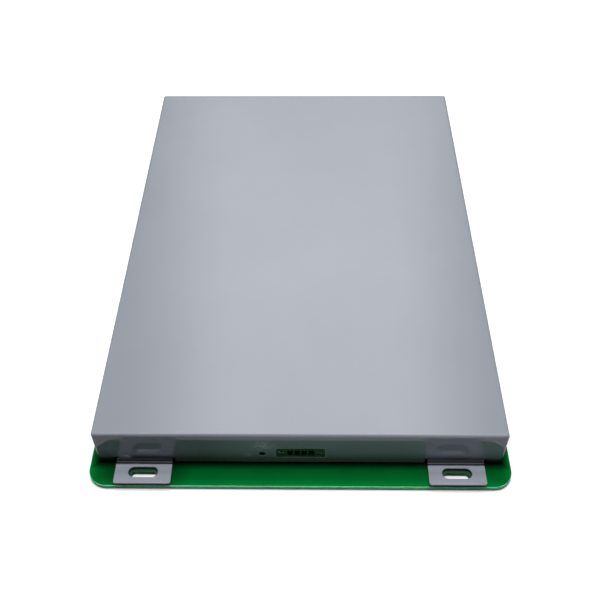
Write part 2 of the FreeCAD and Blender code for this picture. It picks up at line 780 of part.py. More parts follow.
def feed_route():
    """The lead's way from the reader board's plug down to the antenna board's."""
    start = crimp_axis(reader_socket_at()) + ALONG_Y * COAX_START
    end = crimp_axis(antenna_socket_at()) + ALONG_X * COAX_START
    return [start, start + V(0, 19, 0), end + V(41, -10, 3.2), end + V(23, 0, 0), end]


def tube(route, r):
    """A round tube of straight runs and tangent arcs, each arc as large as its two runs allow."""
    edges = []
    here = route[0]
    for before, corner, after in zip(route, route[1:], route[2:]):
        back, on = (before - corner).normalize(), (after - corner).normalize()
        half_turn = (math.pi - back.getAngle(on)) / 2
        reach = 0.45 * min((before - corner).Length, (after - corner).Length)
        radius = reach / math.tan(half_turn)
        print(f"feed cable: arc radius {radius:.1f}")
        middle = corner + (back + on).normalize() * radius * (1 / math.cos(half_turn) - 1)
        first, last = corner + back * reach, corner + on * reach
        edges.append(Part.LineSegment(here, first).toShape())
        edges.append(Part.Arc(first, middle, last).toShape())
        here = last
    edges.append(Part.LineSegment(here, route[-1]).toShape())
    path = Part.Wire(edges)
    section = Part.Wire(Part.makeCircle(r, route[0], route[1] - route[0]))
    solid = path.makePipeShell([section], True, False)
    print(f"feed cable: volume {solid.Volume:.1f}, section by length {math.pi * r * r * path.Length:.1f}")
    return solid


def feed_cable():
    return tube(feed_route(), COAX_R)


# ---- tuning parts -------------------------------------------------------------------------------
def trimmer_bodies():
    """Ceramic trimmer bases, each with a round well and a shaft hole."""
    bodies = []
    for x in TRIMMERS.values():
        top = BOARD_T + TRIMMER_H
        base = plate(TRIMMER_SIDE, TRIMMER_SIDE, TRIMMER_H, 1.2, x, TRIMMER_Y, BOARD_T)
        well = rod(ROTOR_R + RUNNING, ROTOR_H + RUNNING, x, TRIMMER_Y, top - ROTOR_H - RUNNING)
        shaft = rod(ROTOR_SHAFT_R + RUNNING, TRIMMER_H, x, TRIMMER_Y, BOARD_T)
        bodies.append(base.cut([well, shaft]))
    return Part.makeCompound(bodies)


def trimmer_rotor(x):
    """A disc with a half-round step, a screwdriver slot and a shaft down through the base."""
    top = BOARD_T + TRIMMER_H
    disc = rod(ROTOR_R, ROTOR_H, x, TRIMMER_Y, top - ROTOR_H)
    half = Part.makeBox(2 * ROTOR_R, ROTOR_R, 0.3, V(x - ROTOR_R, TRIMMER_Y, top - 0.3))
    boss = rod(1.9, 0.3, x, TRIMMER_Y, top - 0.3)
    shaft = rod(ROTOR_SHAFT_R, TRIMMER_H - 0.3, x, TRIMMER_Y, BOARD_T + 0.3)
    rotor = joined(disc.cut(half), boss, shaft)
    return rotor.cut(block(3.2, 0.7, 0.7, x, TRIMMER_Y, top - 0.7))


def trimmer_rotor_a():
    return trimmer_rotor(TRIMMERS["a"])


def trimmer_rotor_b():
    return trimmer_rotor(TRIMMERS["b"])


def chip_row(count, step, y, w, l, h, end):
    """Bodies and metal ends of a row of chip parts on the antenna board, as two lists."""
    bodies, ends = [], []
    for i in range(count):
        x = (i - (count - 1) / 2) * step
        bodies.append(block(w - 2 * end, l, h, x, y, BOARD_T))
        ends += [block(end, l, h, x + s * (w - end) / 2, y, BOARD_T) for s in (-1, 1)]
    return bodies, ends


def tuning_row():
    return chip_row(4, 7.0, TUNING_ROW_Y, 4.6, 3.2, 2.0, 0.6)


def damping_row():
    return chip_row(3, 9.0, DAMPING_ROW_Y, 6.4, 3.2, 0.8, 0.7)


def tuning_capacitors():
    return Part.makeCompound(tuning_row()[0])


def damping_resistors():
    return Part.makeCompound(damping_row()[0])


def chip_ends():
    """The metal ends of the tuning capacitors and the damping resistors."""
    return Part.makeCompound(tuning_row()[1] + damping_row()[1])


def torus_middle():
    """Centre of the matching transformer, high enough for its wire to rest on the board."""
    ring = TORUS_CORE_R + FIT + 2 * TORUS_WIRE_R
    return V(*TORUS_AT, BOARD_T + ring)


def transformer_core():
    return Part.makeTorus(TORUS_R, TORUS_CORE_R, torus_middle(), UP)


def transformer_winding():
    """Turns of wire round the core, over all of it but the gap for its ends."""
    turns = []
    for i in range(TORUS_TURNS):
        angle = math.radians(30 + 300 * i / (TORUS_TURNS - 1))
        out, tangent = V(math.cos(angle), math.sin(angle), 0), V(-math.sin(angle), math.cos(angle), 0)
        ring_r = TORUS_CORE_R + FIT + TORUS_WIRE_R
        turns.append(Part.makeTorus(ring_r, TORUS_WIRE_R, torus_middle() + out * TORUS_R, tangent))
    return Part.makeCompound(turns)


# ---- output -------------------------------------------------------------------------------------
PIECES = [
    shield_case, case_pillars, case_screws,
    antenna_board, antenna_loop,
    reader_board, reader_board_spacers, reader_board_screws, lock_washers, spacer_screws,
    terminal_header, terminal_pins, header_nuts,
    status_led, led_holder, led_leads,
    controller_chip, controller_leads, interface_chips, interface_leads, rf_chip, crystal_can,
    rf_shield_frame, rf_shield_lid,
    capacitor_bases, bulk_capacitors, power_choke, choke_terminals,
    voltage_regulator, regulator_metal, input_fuse,
    service_header, service_pins, chip_passives,
    rf_socket_reader, rf_socket_antenna, feed_plugs, feed_cable,
    trimmer_bodies, trimmer_rotor_a, trimmer_rotor_b,
    tuning_capacitors, damping_resistors, chip_ends, transformer_core, transformer_winding,
]

os.makedirs("parts", exist_ok=True)
for piece in PIECES:
    piece().exportStep(f"parts/{piece.__name__}.step")
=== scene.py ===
import json
import math

import bmesh
import bpy
from mathutils import Matrix, Vector


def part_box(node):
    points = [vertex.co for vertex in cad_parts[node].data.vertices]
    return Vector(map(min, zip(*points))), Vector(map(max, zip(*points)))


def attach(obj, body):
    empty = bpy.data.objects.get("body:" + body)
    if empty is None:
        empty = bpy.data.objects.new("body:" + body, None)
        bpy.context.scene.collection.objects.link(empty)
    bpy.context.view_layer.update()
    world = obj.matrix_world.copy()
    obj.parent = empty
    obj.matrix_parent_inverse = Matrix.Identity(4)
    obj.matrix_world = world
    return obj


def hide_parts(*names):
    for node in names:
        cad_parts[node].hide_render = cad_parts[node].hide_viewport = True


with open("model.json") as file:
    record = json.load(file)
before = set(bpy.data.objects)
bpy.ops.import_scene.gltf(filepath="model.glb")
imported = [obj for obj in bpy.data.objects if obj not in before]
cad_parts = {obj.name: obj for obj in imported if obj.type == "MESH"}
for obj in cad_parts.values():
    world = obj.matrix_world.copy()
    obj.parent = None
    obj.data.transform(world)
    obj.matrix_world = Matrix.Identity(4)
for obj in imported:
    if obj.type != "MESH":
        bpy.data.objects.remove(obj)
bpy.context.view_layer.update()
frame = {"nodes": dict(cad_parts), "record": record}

# Shielded RFID reader pad, in metres: a painted sheet-metal case on a green antenna board.
# The outside pieces are built here with fine bends, rims and edges, on sizes read from the CAD
# nodes they stand for. The inner pieces are the CAD nodes with their own materials.

MM = 0.001
BEND_STEPS = 8  # faces across a quarter bend
HOLE_STEPS = 24  # faces round half a slot's end or a quarter of a board corner


# ---- sizes read from the frame ------------------------------------------------------------------
def span(node, keep=lambda p: True):
    """Lowest and highest corner of the vertices of a CAD node for which keep holds."""
    points = [v.co for v in frame["nodes"][node].data.vertices if keep(v.co)]
    low = Vector([min(p[i] for p in points) for i in range(3)])
    high = Vector([max(p[i] for p in points) for i in range(3)])
    return low, high


def mount(name):
    return next(m for m in frame["record"]["mounts"] if m["name"] == name)


CASE_LOW, CASE_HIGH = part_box("shield_case")
CASE_TOP = CASE_HIGH.z
WALL_X = CASE_HIGH.x
WALL_Y = span("shield_case", lambda p: p.z > 0.5 * CASE_TOP)[1].y
BOARD_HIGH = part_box("antenna_board")[1]
BOARD_TOP = BOARD_HIGH.z
TAB_LOW, TAB_HIGH = span("shield_case", lambda p: p.y > WALL_Y + 4 * MM and p.x > 0)
SHEET = TAB_HIGH.z - TAB_LOW.z
BEND = 1.6 * MM  # outer radius of the folds round the top
TAB_BEND = 2.0 * MM  # radius of the fold at a tab's root
TAB_CORNER = 1.2 * MM
NOTCH = 1.3 * MM  # width of the relief notch on each side of a tab
SHELL_EDGE = 0.18 * MM  # how far the painted sheet's edges are rounded
WALL_BOTTOM = CASE_LOW.z
NOTCH_TOP = TAB_HIGH.z + TAB_BEND
BOARD_CORNER = 10.7 * MM
BOARD_EDGE = 0.45 * MM  # rounding of the board's upper edge
BOARD_FOOT = 0.2 * MM  # chamfer of its lower edge
LEAN = 0.3 * MM  # how far the foot of each wall is folded in
PORT_LOW, PORT_HIGH = span(
    "shield_case",
    lambda p: p.y < -WALL_Y + 0.1 * MM and abs(p.x) < 16 * MM and 7 * MM < p.z < 20 * MM,
)
PORT_X, PORT_Z = (PORT_LOW.x + PORT_HIGH.x) / 2, (PORT_LOW.z + PORT_HIGH.z) / 2
LED_LOW, LED_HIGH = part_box("status_led")
LED_X = (LED_LOW.x + LED_HIGH.x) / 2
LED_Z = (LED_LOW.z + LED_HIGH.z) / 2
LED_HOLE = 1.6 * MM  # radius
PORT_CORNER = 0.7 * MM
PATTERN = mount("counter_slots")
SLOT_X = PATTERN["dims"]["spacing_x_mm"] / 2 * MM
SLOT_Y = PATTERN["dims"]["spacing_y_mm"] / 2 * MM
BOARD_SLOT_R = PATTERN["dims"]["hole_r_mm"] * MM
TAB_SLOT_R = 3.2 * MM
TAB_SLOT_Y = SLOT_Y - 0.4 * MM
SLOT_HALF = PATTERN["dims"]["slot_length_mm"] / 2 * MM - BOARD_SLOT_R
CORNERS = [(sx, sy) for sx in (-1, 1) for sy in (-1, 1)]


# ---- mesh helpers -------------------------------------------------------------------------------
def new_object(name, bm):
    mesh = bpy.data.meshes.new(name)
    bm.to_mesh(mesh)
    bm.free()
    obj = bpy.data.objects.new(name, mesh)
    bpy.context.scene.collection.objects.link(obj)
    return obj


def bake(obj):
    """Applies the modifiers of obj to its mesh."""
    shown = obj.evaluated_get(bpy.context.evaluated_depsgraph_get())
    mesh = bpy.data.meshes.new_from_object(shown)
    obj.modifiers.clear()
    old = obj.data
    obj.data = mesh
    bpy.data.meshes.remove(old)


def drop(obj):
    bpy.data.objects.remove(obj)


def arc(cx, cy, r, start, end, steps):
    """Points on an arc in a plane, both ends included, with angles in degrees."""
    angles = [math.radians(start + (end - start) * i / steps) for i in range(steps + 1)]
    return [(cx + r * math.cos(a), cy + r * math.sin(a)) for a in angles]


def rounded_outline(half_x, half_y, r, steps):
    """A rounded rectangle about the origin, counter-clockwise."""
    points = []
    for quarter, (sx, sy) in enumerate(((1, -1), (1, 1), (-1, 1), (-1, -1))):
        start = 90 * quarter - 90
        points += arc(sx * (half_x - r), sy * (half_y - r), r, start, start + 90, steps)
    return points


def slot_outline(x, y, r):
    """A slot along X about x, y, counter-clockwise."""
    right = arc(x + SLOT_HALF, y, r, -90, 90, HOLE_STEPS)
    return right + arc(x - SLOT_HALF, y, r, 90, 270, HOLE_STEPS)


def prism(name, outline, low, high, axis="Z"):
    """A closed prism of an outline, along Z, or along Y with the outline in X and Z."""
    bm = bmesh.new()

    def place(p, level):
        return (p[0], level, p[1]) if axis == "Y" else (p[0], p[1], level)

    bottom = [bm.verts.new(place(p, low)) for p in outline]
    top = [bm.verts.new(place(p, high)) for p in outline]
    bm.faces.new(bottom)
    bm.faces.new(top)
    for i in range(len(outline)):
        j = (i + 1) % len(outline)
        bm.faces.new((bottom[i], bottom[j], top[j], top[i]))
    bmesh.ops.recalc_face_normals(bm, faces=bm.faces)
    return new_object(name, bm)


def loft(name, bm, rings):
    """A closed solid through rings of vertices, with its two end faces."""
    for one, two in zip(rings, rings[1:]):
        for i in range(len(one)):
            j = (i + 1) % len(one)
            bm.faces.new((one[i], one[j], two[j], two[i]))
    bm.faces.new(rings[0])
    bm.faces.new(rings[-1])
    bmesh.ops.recalc_face_normals(bm, faces=bm.faces)
    return new_object(name, bm)


def cut(obj, cutters):
    """Takes the cutters out of obj and deletes them."""
    for cutter in cutters:
        mod = obj.modifiers.new("cut", "BOOLEAN")
        mod.operation = "DIFFERENCE"
        mod.solver = "EXACT"
        mod.object = cutter
    bake(obj)
    for cutter in cutters:
        drop(cutter)


def soften(obj, width, steps=2, angle=50):
    """Rounds the sharp edges by a small width and keeps the flat faces flat in shading."""
    mod = obj.modifiers.new("edges", "BEVEL")
    mod.width = width
    mod.segments = steps
    mod.limit_method = "ANGLE"
    mod.angle_limit = math.radians(angle)
    mod.use_clamp_overlap = True
    bake(obj)
    obj.data.shade_smooth()
    obj.modifiers.new("flat", "WEIGHTED_NORMAL").keep_sharp = True
    bake(obj)


# ---- case ---------------------------------------------------------------------------------------
def wall_marks():
    """X of the edges of the tabs and of the relief notches beside them, in order."""
    right = [TAB_LOW.x - NOTCH, TAB_LOW.x, TAB_HIGH.x, TAB_HIGH.x + NOTCH]
    return sorted([-x for x in right] + right)


def case_ring(bm, inset, z):
    """Vertices of the case's outline, drawn in by inset, counter-clockwise from the front left."""
    r = BEND - inset
    cx, cy = WALL_X - BEND, WALL_Y - BEND
    points = [(x, inset - WALL_Y) for x in wall_marks()]
    points += arc(cx, -cy, r, -90, 0, BEND_STEPS) + arc(cx, cy, r, 0, 90, BEND_STEPS)
    points += [(x, WALL_Y - inset) for x in reversed(wall_marks())]
    points += arc(-cx, cy, r, 90, 180, BEND_STEPS) + arc(-cx, -cy, r, 180, 270, BEND_STEPS)
    return [bm.verts.new((x, y, z)) for x, y in points]


def in_window(a, b):
    """Whether the wall between two vertices is cut away for a tab and its notches."""
    x = abs(a.co.x + b.co.x) / 2
    nearest = WALL_Y - 1.2 * LEAN
    flat = abs(a.co.y) > nearest and abs(b.co.y) > nearest
    return flat and TAB_LOW.x - NOTCH < x < TAB_HIGH.x + NOTCH


def add_tab(bm, root):
    """The upper face of a tab: down from its two root vertices, round the fold and out."""
    side = 1 if root[0].co.y > 0 else -1
    start = abs(root[0].co.y)
    ends = [v.co.x for v in root]
    high = TAB_HIGH.z

    def row(out, z):
        return [bm.verts.new((x, side * (start + out), z)) for x in ends]

    rows = [root]
    for out, z in arc(TAB_BEND, high + TAB_BEND, TAB_BEND, 180, 270, BEND_STEPS)[1:]:
        rows.append(row(out, z))
    for one, two in zip(rows, rows[1:]):
        bm.faces.new((one[0], one[1], two[1], two[0]))
    reach = TAB_HIGH.y - start
    x0, x1 = min(ends), max(ends)
    far = reach - TAB_CORNER
    tip = arc(x1 - TAB_CORNER, far, TAB_CORNER, 0, 90, BEND_STEPS)
    tip += arc(x0 + TAB_CORNER, far, TAB_CORNER, 90, 180, BEND_STEPS)
    rim = [bm.verts.new((x, side * (start + out), high)) for x, out in tip]
    root_by_x = sorted(rows[-1], key=lambda v: v.co.x)
    bm.faces.new([root_by_x[0], root_by_x[1]] + rim)


def case_skin():
    """The outer face of the folded sheet, as one open surface."""
    bm = bmesh.new()
    lean_at_notch = LEAN * (CASE_TOP - BEND - NOTCH_TOP) / (CASE_TOP - BEND - WALL_BOTTOM)
    rings = [case_ring(bm, LEAN, WALL_BOTTOM), case_ring(bm, lean_at_notch, NOTCH_TOP)]
    for i in range(BEND_STEPS + 1):
        turn = math.radians(90 * i / BEND_STEPS)
        inset = BEND * (1 - math.cos(turn))
        rings.append(case_ring(bm, inset, CASE_TOP - BEND + BEND * math.sin(turn)))
    count = len(rings[0])
    for level, (below, above) in enumerate(zip(rings, rings[1:])):
        for i in range(count):
            j = (i + 1) % count
            if level > 0 or not in_window(below[i], below[j]):
                bm.faces.new((below[i], below[j], above[j], above[i]))
    marks = len(wall_marks())
    back = marks + 2 * (BEND_STEPS + 1)
    front_row = [rings[-1][-1]] + rings[-1][: marks + 1]
    back_row = rings[-1][back - 1 : back + marks + 1][::-1]
    for i in range(marks + 1):
        bm.faces.new((front_row[i], front_row[i + 1], back_row[i + 1], back_row[i]))
    for i in range(count):
        a, b = rings[1][i], rings[1][(i + 1) % count]
        x = abs(a.co.x + b.co.x) / 2
        if in_window(a, b) and TAB_LOW.x < x < TAB_HIGH.x:
            add_tab(bm, [a, b])
    bmesh.ops.remove_doubles(bm, verts=bm.verts, dist=1e-7)
    bmesh.ops.delete(bm, geom=[v for v in bm.verts if not v.link_faces], context="VERTS")
    bmesh.ops.recalc_face_normals(bm, faces=bm.faces)
    top = max(bm.faces, key=lambda f: f.calc_center_median().z)
    if top.normal.z < 0:
        bmesh.ops.reverse_faces(bm, faces=bm.faces)
    return new_object("case_shell", bm)


def case_shell():
    """The painted case: the skin given its thickness, then the slots, the port and the hole."""
    shell = case_skin()
    mod = shell.modifiers.new("sheet", "SOLIDIFY")
    mod.thickness = SHEET
    mod.offset = -1
    mod.use_even_offset = True
    mod.use_quality_normals = True
    bake(shell)
    through = (-WALL_Y - SHEET, -WALL_Y + 2 * SHEET)
    port = rounded_outline(PORT_HIGH.x - PORT_X, PORT_HIGH.z - PORT_Z, PORT_CORNER, BEND_STEPS)
    port = [(PORT_X + x, PORT_Z + z) for x, z in port]
    led_hole = arc(LED_X, LED_Z, LED_HOLE, 0, 360, 2 * HOLE_STEPS)[:-1]
    cutters = [prism("port", port, *through, "Y"), prism("led_hole", led_hole, *through, "Y")]
    for sx, sy in CORNERS:
        outline = slot_outline(sx * SLOT_X, sy * TAB_SLOT_Y, TAB_SLOT_R)
        cutters.append(prism("slot", outline, BOARD_TOP, TAB_HIGH.z + SHEET))
    cut(shell, cutters)
    soften(shell, SHELL_EDGE)
    return shell


# ---- antenna board ------------------------------------------------------------------------------
LOOP_LOW, LOOP_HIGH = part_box("antenna_loop")
TRACK = 10.0 * MM  # width of the copper
FEED_INNER = 5.0 * MM  # the feed tracks' sides, from the middle
FEED_OUTER = 13.0 * MM
FEED_END = -54.0 * MM
LOOP_CORNER = 19.0 * MM
TRACK_GAP = 0.02 * MM  # between the copper and its recess


def loop_outline(grow=0.0):
    """The copper track seen from above: one turn with a gap, and a feed track on each side of it."""
    x, low, high = LOOP_HIGH.x + grow, LOOP_LOW.y - grow, LOOP_HIGH.y + grow
    r = LOOP_CORNER + grow
    ix, ilow, ihigh = x - TRACK - 2 * grow, low + TRACK + 2 * grow, high - TRACK - 2 * grow
    ir = LOOP_CORNER - TRACK - grow
    inner, outer, end = FEED_INNER - grow, FEED_OUTER + grow, FEED_END + grow
    half = [(inner, end), (inner, low)]
    half += arc(x - r, low + r, r, -90, 0, HOLE_STEPS) + arc(x - r, high - r, r, 0, 90, HOLE_STEPS)
    back = arc(ix - ir, ihigh - ir, ir, 90, 0, HOLE_STEPS)
    back += arc(ix - ir, ilow + ir, ir, 0, -90, HOLE_STEPS) + [(outer, ilow), (outer, end)]
    left = [(-px, py) for px, py in reversed(half)]
    left_back = [(-px, py) for px, py in reversed(back)]
    return half + left + left_back + back


def screw_places(node):
    """Centres of the separate solids of a node of screws, from its islands of vertices."""
    bm = bmesh.new()
    bm.from_mesh(frame["nodes"][node].data)
    bmesh.ops.remove_doubles(bm, verts=bm.verts, dist=1e-6)
    places, seen = [], set()
    for start in bm.verts:
        if start in seen:
            continue
        island, edge = [], [start]
        seen.add(start)
        while edge:
            v = edge.pop()
            island.append(v.co.copy())
            for e in v.link_edges:
                w = e.other_vert(v)
                if w not in seen:
                    seen.add(w)
                    edge.append(w)
        xs, ys = [p.x for p in island], [p.y for p in island]
        places.append(((min(xs) + max(xs)) / 2, (min(ys) + max(ys)) / 2))
    bm.free()
    return sorted(places)


CASE_SCREWS = screw_places("case_screws")
SPACER_SCREWS = screw_places("spacer_screws")
SINK_R = 3.0 * MM  # a countersink at the underside
CLEAR_R = 1.65 * MM  # the bore above it


def countersink(x, y):
    """The solid that fills a countersunk hole: a cone at the underside and a bore above it."""
    taper = SINK_R - CLEAR_R
    below = 0.5 * MM
    profile = [(SINK_R + below, -below), (CLEAR_R, taper), (CLEAR_R, BOARD_TOP + below)]
    bm = bmesh.new()
    rings = []
    for r, z in profile:
        circle = arc(x, y, r, 0, 360, 2 * HOLE_STEPS)[:-1]
        rings.append([bm.verts.new((px, py, z)) for px, py in circle])
    return loft("countersink", bm, rings)


def board_blank():
    """The board's full outline, with a well rounded upper edge and a small lower one."""
    levels = [(BOARD_FOOT, 0), (0, BOARD_FOOT)]
    for out, up in arc(0, 0, BOARD_EDGE, 0, 90, BEND_STEPS):
        levels.append((BOARD_EDGE - out, BOARD_TOP - BOARD_EDGE + up))
    bm = bmesh.new()
    rings = []
    for inset, z in levels:
        half_x, half_y = BOARD_HIGH.x - inset, BOARD_HIGH.y - inset
        outline = rounded_outline(half_x, half_y, BOARD_CORNER - inset, HOLE_STEPS)
        rings.append([bm.verts.new((x, y, z)) for x, y in outline])
    return loft("antenna_board_plate", bm, rings)


def board_plate():
    """The antenna board, with its slots, screw holes and the recess of the copper track."""
    plate = board_blank()
    cutters = [
        prism("slot", slot_outline(sx * SLOT_X, sy * SLOT_Y, BOARD_SLOT_R), -MM, BOARD_TOP + MM)
        for sx, sy in CORNERS
    ]
    cutters += [countersink(x, y) for x, y in CASE_SCREWS + SPACER_SCREWS]
    cutters.append(prism("recess", loop_outline(), -MM, LOOP_HIGH.z))
    cut(plate, cutters)
    soften(plate, 0.04 * MM)
    return plate


def copper_track():
    """The loop and its feed tracks, flush with the board's underside."""
    track = prism("antenna_track", loop_outline(-TRACK_GAP), 0, LOOP_HIGH.z)
    soften(track, 0.03 * MM)
    return track


# ---- screws -------------------------------------------------------------------------------------
def screw_set(name, places, length):
    """Countersunk screws seen from below, each with a tapered cross in its head."""
    head_r, shank_r, sunk = 2.88 * MM, 1.5 * MM, 0.1 * MM
    profile = [(0, sunk), (head_r, sunk), (shank_r, sunk + head_r - shank_r)]
    profile += [(shank_r, length - 0.4 * MM), (shank_r - 0.4 * MM, length), (0, length)]
    bm = bmesh.new()
    rings = []
    for r, z in profile:
        if r == 0:
            rings.append([bm.verts.new((0, 0, z))])
        else:
            circle = arc(0, 0, r, 0, 360, 2 * HOLE_STEPS)[:-1]
            rings.append([bm.verts.new((x, y, z)) for x, y in circle])
    for one, two in zip(rings, rings[1:]):
        n = max(len(one), len(two))
        for i in range(n):
            j = (i + 1) % n
            corners = [one[i % len(one)], one[j % len(one)], two[j % len(two)], two[i % len(two)]]
            bm.faces.new(list(dict.fromkeys(corners)))
    bmesh.ops.recalc_face_normals(bm, faces=bm.faces)
    one = new_object(name, bm)
    cut(one, [cross_cutter(sunk)])
    soften(one, 0.06 * MM, angle=35)
    copies = bmesh.new()
    for x, y in places:
        bump = len(copies.verts)
        copies.from_mesh(one.data)
        copies.verts.ensure_lookup_table()
        bmesh.ops.translate(copies, verts=copies.verts[bump:], vec=(x, y, 0))
    copies.to_mesh(one.data)
    copies.free()
    one.data.shade_smooth()
    return one


def cross_cutter(z):
    """A cross that narrows as it goes into the screw."""
    bm = bmesh.new()
    levels = [(-0.2 * MM, 1.62 * MM, 0.42 * MM), (1.1 * MM, 0.9 * MM, 0.26 * MM)]
    rings = []
    for depth, arm, half in levels:
        corner = [(half, -arm), (half, -half), (arm, -half), (arm, half), (half, half), (half, arm)]
        shape = corner + [(-x, -y) for x, y in corner]
        rings.append([bm.verts.new((x, y, z + depth)) for x, y in shape])
    return loft("cross", bm, rings)


# ---- materials ----------------------------------------------------------------------------------
class Finish:
    """A Principled material in the making, with short calls for its layers."""

    def __init__(self, name, colour, roughness=0.5, metallic=0.0, **sockets):
        self.material = bpy.data.materials.new(name)
        self.material.use_nodes = True
        self.tree = self.material.node_tree
        self.shader = self.tree.nodes["Principled BSDF"]
        self.place = self.add("TexCoord").outputs["Object"]
        self.set("Base Color", (*colour, 1))
        self.set("Roughness", roughness)
        self.set("Metallic", metallic)
        for socket, value in sockets.items():
            self.set(socket.replace("_", " "), value)

    def add(self, kind, **settings):
        node = self.tree.nodes.new("ShaderNode" + kind)
        for key, value in settings.items():
            setattr(node, key, value)
        return node

    def join(self, value, socket):
        if isinstance(value, bpy.types.NodeSocket):
            self.tree.links.new(value, socket)
        else:
            socket.default_value = value

    def set(self, socket, value):
        self.join(value, self.shader.inputs[socket])

    def maths(self, operation, *values, clamp=False):
        node = self.add("Math", operation=operation, use_clamp=clamp)
        for value, socket in zip(values, node.inputs):
            self.join(value, socket)
        return node.outputs[0]

    def stretched(self, scale):
        node = self.add("Mapping")
        self.join(self.place, node.inputs["Vector"])
        node.inputs["Scale"].default_value = scale
        return node.outputs[0]

    def noise(self, size, detail=2.0, roughness=0.5, stretch=(1, 1, 1), shift=0.0):
        """Noise whose features are about size across, from 0 to 1."""
        node = self.add("TexNoise", noise_dimensions="4D")
        self.join(self.stretched(stretch), node.inputs["Vector"])
        node.inputs["W"].default_value = shift
        node.inputs["Scale"].default_value = 1 / size
        node.inputs["Detail"].default_value = detail
        node.inputs["Roughness"].default_value = roughness
        return node.outputs["Fac"]

    def span(self, value, low, high, start=0.0, end=1.0, smooth=False):
        """Maps value from low..high to start..end."""
        kind = "SMOOTHSTEP" if smooth else "LINEAR"
        node = self.add("MapRange", interpolation_type=kind)
        for item, socket in zip((value, low, high, start, end), node.inputs):
            self.join(item, socket)
        return node.outputs["Result"]

    def blend(self, factor, one, two):
        """Mixes two colours, given as triples or sockets."""
        node = self.add("Mix", data_type="RGBA")
        self.join(factor, node.inputs["Factor"])
        for value, socket in ((one, node.inputs[6]), (two, node.inputs[7])):
            self.join(value if isinstance(value, bpy.types.NodeSocket) else (*value, 1), socket)
        return node.outputs[2]

    def mixed(self, factor, one, two):
        """Mixes two numbers."""
        node = self.add("Mix")
        for value, socket in zip((factor, one, two), ("Factor", "A", "B")):
            self.join(value, node.inputs[socket])
        return node.outputs["Result"]

    def tint(self, colour, factor):
        """A colour times a number."""
        node = self.add("VectorMath", operation="SCALE")
        self.join(colour, node.inputs[0])
        self.join(factor, node.inputs["Scale"])
        return node.outputs[0]

    def relief(self, height, depth, coat=False):
        """Bumps the surface by height times depth, on top of the bumps so far."""
        node = self.add("Bump")
        node.inputs["Distance"].default_value = depth
        self.join(height, node.inputs["Height"])
        socket = self.shader.inputs["Normal"]
        if socket.is_linked:
            self.join(socket.links[0].from_socket, node.inputs["Normal"])
        self.join(node.outputs[0], socket)
        if coat:
            self.join(node.outputs[0], self.shader.inputs["Coat Normal"])

    def axis(self, name):
        split = self.add("SeparateXYZ")
        self.join(self.place, split.inputs[0])
        return split.outputs[name]

    def near(self, point, stretch=(1, 1, 1)):
        """Distance from a point, with each axis scaled by stretch."""
        shift = self.add("VectorMath", operation="SUBTRACT")
        self.join(self.place, shift.inputs[0])
        shift.inputs[1].default_value = point
        scale = self.add("VectorMath", operation="MULTIPLY")
        self.join(shift.outputs[0], scale.inputs[0])
        scale.inputs[1].default_value = stretch
        length = self.add("VectorMath", operation="LENGTH")
        self.join(scale.outputs[0], length.inputs[0])
        return length.outputs["Value"]


# The paint and the board are graded by place. The grading imitates how the light fell on the
# photographed pad. It is not wear, and it stays where it is when the light or the view changes.
PAINT = (0.270, 0.291, 0.330)
# painted reflection: the walls' tint, bluer and greener than the top, for the green board and shade
# they mirror
WALL_REFLECTED_TINT = (0.260, 0.305, 0.358)
RESIDUE = (0.72, 0.8, 0.82)
RESIDUE_COVER = 0.8
SPECK = 0.75  # the paint's dark specks, as a part of its colour
FOOT_SHADE = 0.55  # painted shade at the foot of the walls
LIP_LIGHT = 1.8  # painted light on the last few millimetres of the foot, away from the tabs
FOLD_SHADE = 0.35  # painted shade in the fold at a tab's root
HOLLOW_SHADE = 0.45  # painted shade in the lowest part of that fold
TAB_LIGHT = 1.6  # painted light at the root of a tab's flat
INNER_SHADE = 0.25  # painted shade on the inner faces of the sheet
RIGHT_LIGHT = 1.5  # painted light on all walls to the right of RIGHT_FROM, fading out at RIGHT_START
RIGHT_START = -52 * MM
RIGHT_FROM = -26 * MM
PORT_HIGHLIGHT = (1.2, 2.0)  # least and most painted highlight, round the port


def case_paint():
    """Light grey semi-gloss paint: a fine orange peel, faint clouding, handling marks, and painted
    light, shade and tint by place.
    """
    f = Finish("case_paint", PAINT, 0.6, Coat_Weight=1.0, Coat_IOR=1.5, Specular_IOR_Level=0.0)
    cloud = f.noise(60 * MM, 3)
    speck = f.noise(0.5 * MM, 2)
    dark, light = [tuple(k * c for c in PAINT) for k in (0.97, 1.03)]
    colour = f.blend(f.span(cloud, 0.3, 0.7), dark, light)
    colour = f.blend(f.span(speck, 0.66, 0.8, 0, 0.35), colour, tuple(SPECK * c for c in PAINT))
    residue = residue_mask(f)
    # painted reflected tint on the walls
    colour = f.blend(wall_zone(f), colour, WALL_REFLECTED_TINT)
    # painted light and shade by place, as a factor on the colour
    graded = f.tint(colour, paint_light_and_shade(f))
    cover = f.maths("MULTIPLY", residue, RESIDUE_COVER)
    f.set("Base Color", f.blend(cover, graded, RESIDUE))
    f.set("Roughness", f.span(cloud, 0.2, 0.8, 0.55, 0.65))
    gloss = f.span(f.noise(18 * MM, 3, stretch=(1, 0.4, 1)), 0.3, 0.7, 0.03, 0.05)
    f.set("Coat Roughness", f.maths("ADD", gloss, f.maths("MULTIPLY", residue, 0.3)))
    f.relief(f.noise(55 * MM, 1), 0.10 * MM, coat=True)
    f.relief(f.noise(1.1 * MM, 2), 0.003 * MM, coat=True)
    return f.material


